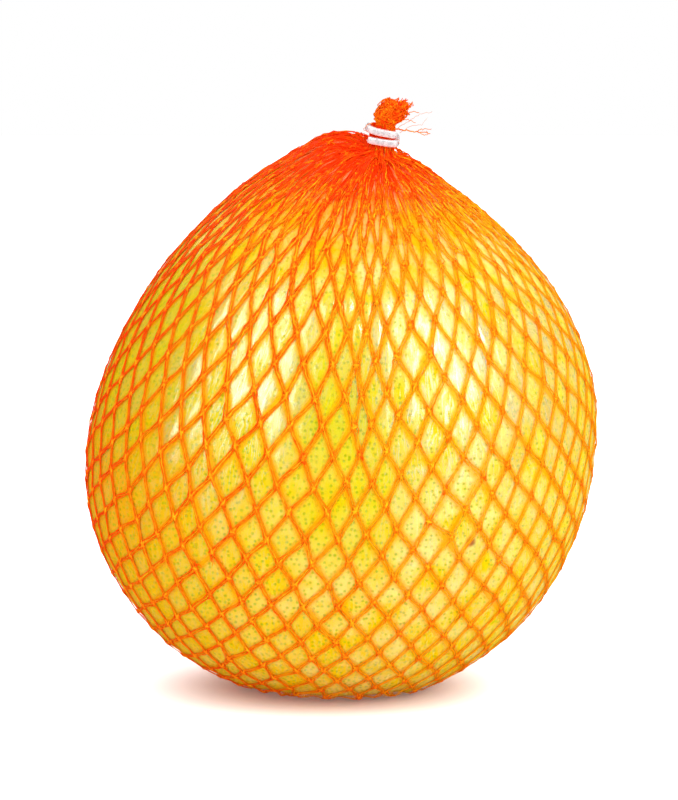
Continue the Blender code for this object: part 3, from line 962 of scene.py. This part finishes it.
def makeKnots(net, material):
    # two crossed stitches and a wrap at every knot
    draw = net.draw
    row, column = np.meshgrid(np.arange(1, len(net.rows) - 1), np.arange(net.columns), indexing="ij")
    keep = (row + column) % 2 == 0
    angle = net.knotAngle[row, column][keep]
    level = net.knotRow[row, column][keep]
    pull = net.gathered(level)
    radius = np.maximum(net.wrap.radiusAt(level), 0.004)
    flush = net.flush(radius)
    perRow = net.rowLength(level)
    inward = draw.uniform(0.0, 0.6, level.shape)
    parts = []
    # from where to where each stitch runs, and how high it stands
    stitches = (
        (-0.0007, -0.0013, 0.0007, 0.0013, 0.00014),
        (0.0007, -0.0012, -0.0007, 0.0012, 0.00018),
        (-0.0009, 0.0001, 0.0009, -0.0001, 0.00022),
    )
    for x0, y0, x1, y1, lift in stitches:
        points, normals = [], []
        for share in (0.0, 0.35, 0.65, 1.0):
            x = between(x0, x1, share) + 0.00012 * draw.normal(0.0, 1.0, level.shape)
            y = between(y0, y1, share) + 0.00018 * draw.normal(0.0, 1.0, level.shape)
            arch = lift * (0.25 + 3.0 * share * (1 - share)) + pull * 0.0006
            beside = angle + x * (1 - 0.4 * pull) / radius
            point, normal = net.place(beside, level + y / perRow, inward, arch)
            points.append(point)
            normals.append(normal)
        size = draw.uniform(0.85, 1.2, (level.size, 1))
        taper = np.array([0.6, 1.0, 1.0, 0.6])
        tone = 0.43 + 0.10 * draw.normal(0.0, 1.0, (level.size, 1)) + 0.47 * flush[:, None]
        wide, high = 0.00036 * size * taper, 0.00022 * size * taper
        path, outward = np.stack(points, 1), np.stack(normals, 1)
        parts.append(tubes(path, outward, wide, high, 0.0, tone + np.zeros(4)))
    return yarnPiece("net_knots", parts, material)


tailShape = {
    "fibres": 260, "steps": 12, "startWide": 0.0027, "startDeep": 0.0013, "wide": 0.0043, "deep": 0.0033,
    "wobble": 0.0005, "thick": 0.00026, "tall": 0.0108, "short": 0.0045, "core": 0.0010,
    "topBend": 0.26, "baseBend": 0.05, "baseTall": 0.78, "frizz": 0.00012, "threadTone": 0.55, "seed": 19,
}


def tailFibres(neck, tall, fibres, bend, draw):
    # fibres that spread from inside the clip into a blunt, tangled brush
    look = tailShape
    turn, reach = draw.uniform(0.0, tau, (fibres, 1)), draw.uniform(0.0, 1.0, (fibres, 1)) ** 0.5
    share = np.linspace(0.0, 1.0, look["steps"])[None, :]
    length = draw.uniform(look["short"], look["tall"], (fibres, 1)) * tall
    length = np.minimum(length * 1.25, look["tall"] * tall * draw.uniform(0.90, 1.04, (fibres, 1)))
    height = share * length
    opened = smoothStep((height - 0.0028) / 0.0035)
    turn = turn + 0.5 * np.cumsum(draw.normal(0.0, 0.45, (fibres, look["steps"])), axis=1)
    across = np.cos(turn) * reach * between(look["startWide"], look["wide"], opened)
    along = np.sin(turn) * reach * between(look["startDeep"], look["deep"], opened)
    across = across + bend * height ** 2 / 0.010
    across = across + look["wobble"] * draw.normal(0.0, 1.0, height.shape) * opened
    along = along + look["wobble"] * draw.normal(0.0, 1.0, height.shape) * opened
    height = height + 0.6 * look["wobble"] * draw.normal(0.0, 1.0, height.shape) * opened
    right, back, axis = np.array(neck.right), np.array(neck.back), np.array(neck.axis)
    points = np.array(neck.middle) + across[..., None] * right + along[..., None] * back
    points = points + height[..., None] * axis
    outward = unit(points - (np.array(neck.middle) + height[..., None] * axis) + 1e-6 * axis)
    thick = look["thick"] * draw.uniform(0.7, 1.5, (fibres, 1)) * np.ones_like(height)
    inner = (reach < 0.72) & (share < 0.93)
    thick = np.where(inner, look["core"] * between(0.3, 1.0, opened), thick)
    tone = 0.76 + draw.normal(0.0, 0.12, (fibres, 1)) + 0.10 * draw.normal(0.0, 1.0, height.shape)
    return tubes(points, outward, thick, thick * 0.55, 0.0, tone)


def looseThread(neck, marks, thick, draw):
    # a thin thread through marks given as (right, up, towards the front) from the neck's middle
    marks = np.array(marks)
    share = np.linspace(0.0, 1.0, 6 * (len(marks) - 1) + 1)
    where = share * (len(marks) - 1)
    low = np.minimum(where.astype(int), len(marks) - 2)
    part = smoothStep(where - low)[:, None] * 0.35 + (where - low)[:, None] * 0.65
    path = between(marks[low], marks[low + 1], part)
    path = path + tailShape["frizz"] * draw.normal(0.0, 1.0, path.shape)
    points = np.array(neck.middle) + np.stack([path[:, 0], -path[:, 2], path[:, 1]], axis=-1)
    normal = np.zeros_like(points)
    normal[:, 1] = -1.0
    size = thick * (1.0 - 0.45 * share)
    return tubes(points[None], normal[None], size[None], size[None] * 0.7, 0.0, tailShape["threadTone"])


# threads that stand off beside the top clip: half-thickness and marks, in millimetres
topThreads = (
    (0.22, ((3.2, 2.0, 1.2), (5.5, 1.6, 1.8), (8.6, 1.2, 1.6), (11.0, 0.9, 1.2), (14.0, 0.6, 0.6))),
    (0.14, ((10.0, 1.1, 1.4), (12.2, 1.9, 1.2), (14.4, 1.6, 1.0))),
    (0.12, ((10.4, 1.0, 1.4), (12.0, 0.1, 1.5), (13.4, 0.4, 1.4), (13.0, 1.2, 1.2))),
    (0.16, ((4.6, 5.2, 0.8), (6.6, 6.4, 1.0), (9.4, 7.0, 0.8), (10.6, 6.6, 0.6))),
    (0.14, ((4.4, 4.2, 0.8), (7.4, 4.6, 1.0), (9.8, 3.6, 1.0))),
    (0.13, ((5.0, 7.0, 0.6), (7.6, 9.4, 0.6), (9.2, 9.0, 0.4))),
    (0.07, ((4.2, 1.8, 1.4), (7.4, 4.0, 1.6), (11.0, 6.2, 1.4), (14.6, 6.8, 1.0))),
    (0.06, ((5.2, 0.6, 1.4), (8.2, 2.8, 1.6), (11.6, 3.0, 1.4), (13.2, 5.0, 1.2))),
    (0.07, ((4.0, -1.4, 1.8), (7.0, -4.0, 2.2), (10.4, -6.6, 2.4), (15.6, -7.6, 2.0))),
    (0.06, ((4.2, -1.0, 1.8), (8.0, -3.4, 2.4), (12.4, -6.9, 2.4))),
    (0.10, ((-2.8, 3.6, 2.4), (-4.6, 3.2, 2.6), (-5.6, 1.8, 2.4), (-4.4, 1.2, 2.8))),
)


def makeTails(material):
    look = tailShape
    draw = np.random.default_rng(look["seed"])
    top, base = topNeck(), baseNeck()
    parts = [tailFibres(top, 1.0, look["fibres"], look["topBend"], draw)]
    parts.append(tailFibres(base, look["baseTall"], look["fibres"] * 2 // 3, look["baseBend"], draw))
    for thick, marks in topThreads:
        parts.append(looseThread(top, np.array(marks) / 1000, thick / 1000, draw))
    return yarnPiece("net_tails", parts, material)


def makeClip(node, name, material):
    clip = cadCopy(node, name, clipLook["levels"])
    applyAll(clip)
    clip.data.shade_smooth()
    clip.data.materials.append(material)
    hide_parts(node)
    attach(clip, "root")
    return clip


filmShape = {
    "around": 320, "along": 220, "lift": 0.00010, "height": 0.00018,
    "overlap": 0.07, "overlapLift": 0.00012,      # the film's edges lie over each other down the back
    "flat": (0.47, 0.26), "area": 0.095,
    "neckWidth": 0.0020, "neckDepth": 0.0009,
    # places on the front: angle, width, height, how tall, and for a band how milk-white it makes the film as
    # a painted highlight
    "clearAt": (4.66, 0.26, 0.080, 0.040),
    "sheenBands": (((4.24, 0.25, 0.107, 0.034), 0.92), ((5.12, 0.25, 0.104, 0.034), 0.95)),
    "slackFrom": 0.052, "slackOver": 0.042, "clearSlack": 0.75, "leftSlack": 0.7,
    "milkyShare": 0.28, "milkSheenRight": 0.20, "clearMilky": 0.95,
    "crowdedTo": 0.038, "crowdedOver": 0.016,     # the radius up to which crowded yarn hides the film
    "gatherGlowFrom": 0.028, "gatherGlowOver": 0.018,
}


def creaseField(angle, share, gather):
    # fine ridges that run down from the gather and fade towards the base
    values = np.zeros(angle.shape)
    flat = values.ravel()
    for i, (a, s, g) in enumerate(zip(angle.ravel(), share.ravel(), gather.ravel())):
        where = Vector((cos(a) * 4.2, sin(a) * 4.2, s * 5.0))
        bend = noise.noise(where * 1.3 + Vector((3.1, 0, 0))) * 0.5
        stretched = Vector((cos(a + bend * 0.2) * 9.0, sin(a + bend * 0.2) * 9.0, s * 7.0 + bend))
        ridge = 1.0 - abs(noise.noise(stretched)) * 2.2
        finer = 1.0 - abs(noise.noise(stretched * 2.3 + Vector((0, 7.0, 0)))) * 2.2
        value = max(ridge, 0.0) ** 5 + 0.6 * max(finer, 0.0) ** 4
        flat[i] = value * (0.25 + g)
    return flat.reshape(angle.shape)


def nearPlace(angle, height, place):
    # 1 at a place on the front, fading away from it
    turn, wide, middle, tall = place
    return np.exp(-((angle - turn) / wide) ** 2 - ((height - middle) / tall) ** 2)


def makeFilm(skin, net):
    wrap = wrapAround(skin, filmShape["lift"], filmShape["neckWidth"], filmShape["neckDepth"], False)
    columns, rows = filmShape["around"], filmShape["along"]
    turns = pi / 2 + np.linspace(0.0, tau + filmShape["overlap"], columns)
    angle, share = np.meshgrid(turns, np.linspace(0, 1, rows), indexing="xy")
    row = wrap.rowAt(share * wrap.run[-1] * 0.9995)
    cells = np.stack(net.cellAt(angle, np.maximum(row + net.wrap.count - wrap.count, 0.0)), axis=-1)
    upper = smoothStep((share - 0.35) / 0.5)
    across, along = cells[..., 0], cells[..., 1]
    one, other = [1 - abs(np.mod(course, 2) - 1) for course in (across + along, across - along)]
    puffed = smoothStep(np.minimum(one, other) / 0.6)
    seam = smoothStep((angle - pi / 2 - tau) / filmShape["overlap"] + 0.5) * filmShape["overlapLift"]
    crease = creaseField(angle, share, upper)
    tight = smoothStep((0.012 - wrap.radiusAt(row)) / 0.008) * (share > 0.5)
    lift = (crease + 1.0) * puffed * filmShape["height"] * (1 - tight) + seam
    point = wrap.point(angle, row) + wrap.normal(angle, row) * lift[..., None]
    index = np.arange(rows * columns).reshape(rows, columns)
    faces = np.stack([index[:-1, :-1], index[:-1, 1:], index[1:, 1:], index[1:, :-1]], axis=-1)
    film = meshPiece("cling_film_sheet", point, faces.reshape(-1, 4), filmMaterial())
    corners = [cells[:-1, :-1], cells[:-1, 1:], cells[1:, 1:], cells[1:, :-1]]
    layer = film.data.uv_layers.new(name="cells")
    layer.data.foreach_set("uv", np.stack(corners, axis=2).astype(np.float32).ravel())
    pointValues(film, "crease", np.clip(crease, 0, 1.5))
    look, height, radius = filmShape, point[..., 2], wrap.radiusAt(row)
    uncrowded = smoothStep((radius - look["crowdedTo"]) / look["crowdedOver"])
    clear = nearPlace(angle, height, look["clearAt"])
    slack = smoothStep((height - look["slackFrom"]) / look["slackOver"]) * (1 - look["clearSlack"] * clear)
    slack = slack * (1 - look["leftSlack"] * smoothStep((-np.cos(angle) - 0.62) / 0.25))
    pointValues(film, "slack", slack * uncrowded)
    # painted highlight in part: the film is milkier towards the right and in two bands where the lamps are
    # mirrored, and clearer in the middle between them
    milkAndSheen = np.clip(look["milkyShare"] + look["milkSheenRight"] * np.cos(angle), 0.0, 1.0)
    milkAndSheen = milkAndSheen * (1 - look["clearMilky"] * clear)
    for place, amount in look["sheenBands"]:
        milkAndSheen = milkAndSheen + amount * nearPlace(angle, height, place)
    pointValues(film, "milkAndSheen", milkAndSheen * uncrowded)
    # painted light: where the film turns glowing red in the gather
    pointValues(film, "gatherGlow", smoothStep((look["gatherGlowFrom"] - radius) / look["gatherGlowOver"]) * (share > 0.5))
    flow = np.stack([np.cos(angle) * 3.0, np.sin(angle) * 3.0, share * 2.2], axis=-1)
    pointVectors(film, "flow", flow)
    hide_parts("cling_film")
    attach(film, "root")
    return film


studio = {
    "floorSize": 8.0,
    "floorColour": (0.88, 0.88, 0.88),
    # painted shadow: from floorNear to floorFar around floorCentre the floor dims and reddens towards the
    # object
    "floorNear": 0.024, "floorFar": 0.079, "floorGlow": 0.11, "floorShadowTint": (1.0, 0.42, 0.30),
    "floorShade": (0.88, 0.48, 0.38), "floorCentre": (-0.005, 0.002, 0.0),
    "floorMirrored": (0.06, 0.06, 0.06), "floorRoughness": 0.8, "floorPaling": 0.15,
    "ambient": 0.72, "mirrored": 0.09,   # the room, as it lights the object and as it is mirrored
    # name: (place, width, height, power, what it does: "soft" lights only, "glint" is only mirrored)
    "lamps": {
        "leftSoftbox": ((-0.50, -0.50, 0.98), 0.9, 1.0, 3.8, "soft"),
        "rightSoftbox": ((0.64, -0.50, 0.90), 0.9, 1.0, 7.2, "soft"),
        "frontFill": ((0.20, -1.30, 0.36), 1.2, 0.8, 5.0, "soft"),
        "rearFill": ((0.55, 1.10, 0.70), 1.0, 0.9, 6.0, "soft"),
        "leftSheen": ((-0.77, -0.63, 0.60), 0.85, 1.20, 11.5, "glint"),
        "rightSheen": ((0.74, -0.68, 0.56), 0.48, 1.00, 9.5, "glint"),
        "spark": ((0.32, -0.62, 0.98), 0.12, 0.12, 1.6, "glint"),
        "rearSheen": ((-0.50, 0.80, 0.90), 0.50, 0.80, 6.0, "glint"),
    },
    "lampAim": 0.09,
    "viewDistance": 1.1, "viewElevation": radians(6.5), "viewHeight": 0.493, "viewShift": -0.0005,
    "lens": 164.5875,
}


def makeFloor():
    # a white table that brightens away from the object, so that it has no visible horizon; near the object
    # it carries a painted reddish shadow
    bpy.ops.mesh.primitive_plane_add(size=studio["floorSize"])
    floor = bpy.context.active_object
    floor.name = "floor"
    material, paint, shader = newMaterial("paleFloor")
    away = paint.distance(paint.onObject(), studio["floorCentre"])
    span = paint.add("MapRange", interpolation_type="SMOOTHSTEP")
    limits = (studio["floorNear"], studio["floorFar"], studio["floorGlow"], 1.0)
    for socket, value in zip(span.inputs, (away, *limits)):
        paint.join(value, socket)
    rays = paint.add("LightPath").outputs
    glow = paint.math("MULTIPLY", span.outputs[0], rays["Is Camera Ray"])
    paint.join(glow, shader.inputs["Emission Strength"])
    paler = paint.math("POWER", span.outputs[0], studio["floorPaling"])
    paint.join(paint.mix(paler, studio["floorShadowTint"], (1.0, 1.0, 1.0)), shader.inputs["Emission Color"])
    colour = paint.mix(paler, studio["floorShade"], studio["floorColour"])
    colour = paint.mix(rays["Is Glossy Ray"], colour, studio["floorMirrored"])
    paint.join(colour, shader.inputs["Base Color"])
    shader.inputs["Roughness"].default_value = studio["floorRoughness"]
    floor.data.materials.append(material)


def makeLights():
    # a white backdrop all round, and a softer grey room for the light that reaches the object
    world = bpy.context.scene.world or bpy.data.worlds.new("studio")
    bpy.context.scene.world = world
    world.use_nodes = True
    paint = Paint(world.node_tree)
    background = world.node_tree.nodes["Background"]
    background.inputs["Color"].default_value = (1.0, 1.0, 1.0, 1.0)
    rays = paint.add("LightPath").outputs
    ambient, mirrored = studio["ambient"], studio["mirrored"]
    strength = paint.math("MULTIPLY_ADD", rays["Is Camera Ray"], 1.0 - ambient, ambient)
    strength = paint.math("MULTIPLY_ADD", rays["Is Glossy Ray"], mirrored - ambient, strength)
    paint.join(strength, background.inputs["Strength"])
    for name, (place, width, height, power, use) in studio["lamps"].items():
        data = bpy.data.lights.new(name, "AREA")
        data.shape, data.size, data.size_y, data.energy = "RECTANGLE", width, height, power
        lamp = bpy.data.objects.new(name, data)
        lamp.location = place
        aim = Vector((0, 0, studio["lampAim"])) - Vector(place)
        lamp.rotation_euler = aim.to_track_quat("-Z", "Y").to_euler()
        lamp.visible_glossy = use == "glint"
        lamp.visible_diffuse = use == "soft"
        lamp.visible_camera = False
        bpy.context.scene.collection.objects.link(lamp)


def makeCamera():
    data = bpy.data.cameras.new("camera")
    distance, elevation = studio["viewDistance"], studio["viewElevation"]
    data.lens = studio["lens"]
    camera = bpy.data.objects.new("camera", data)
    aim = Vector((studio["viewShift"], 0.0, cadHeight * studio["viewHeight"]))
    camera.location = aim + Vector((0.0, -cos(elevation), sin(elevation))) * distance
    camera.rotation_euler = (aim - camera.location).to_track_quat("-Z", "Y").to_euler()
    bpy.context.scene.collection.objects.link(camera)
    bpy.context.scene.camera = camera
    bpy.context.scene.view_settings.view_transform = "Standard"


makeCamera()
makeLights()
makeFloor()
print("studio ready")
peel = makePeel()
print("peel ready", len(peel.data.polygons))
skin = fruitRings(peel)
print("skin read")
netWrap = wrapAround(skin, netShape["lift"], wrapShape["neckWidth"], wrapShape["neckDepth"], True)
net = Net(netWrap)
film = makeFilm(skin, net)
print("film ready", len(film.data.polygons))
yarn = yarnMaterial()
netPieces = makeNet(net, yarn)
netPieces.append(makeTails(yarn))
print("net ready", [len(piece.data.polygons) for piece in netPieces], "rows", len(net.rows))
clipMetal = clipMaterial()
for node, name in (("top_clip", "top_wire_clip"), ("base_clip", "base_wire_clip")):
    makeClip(node, name, clipMetal)
print("clips ready")
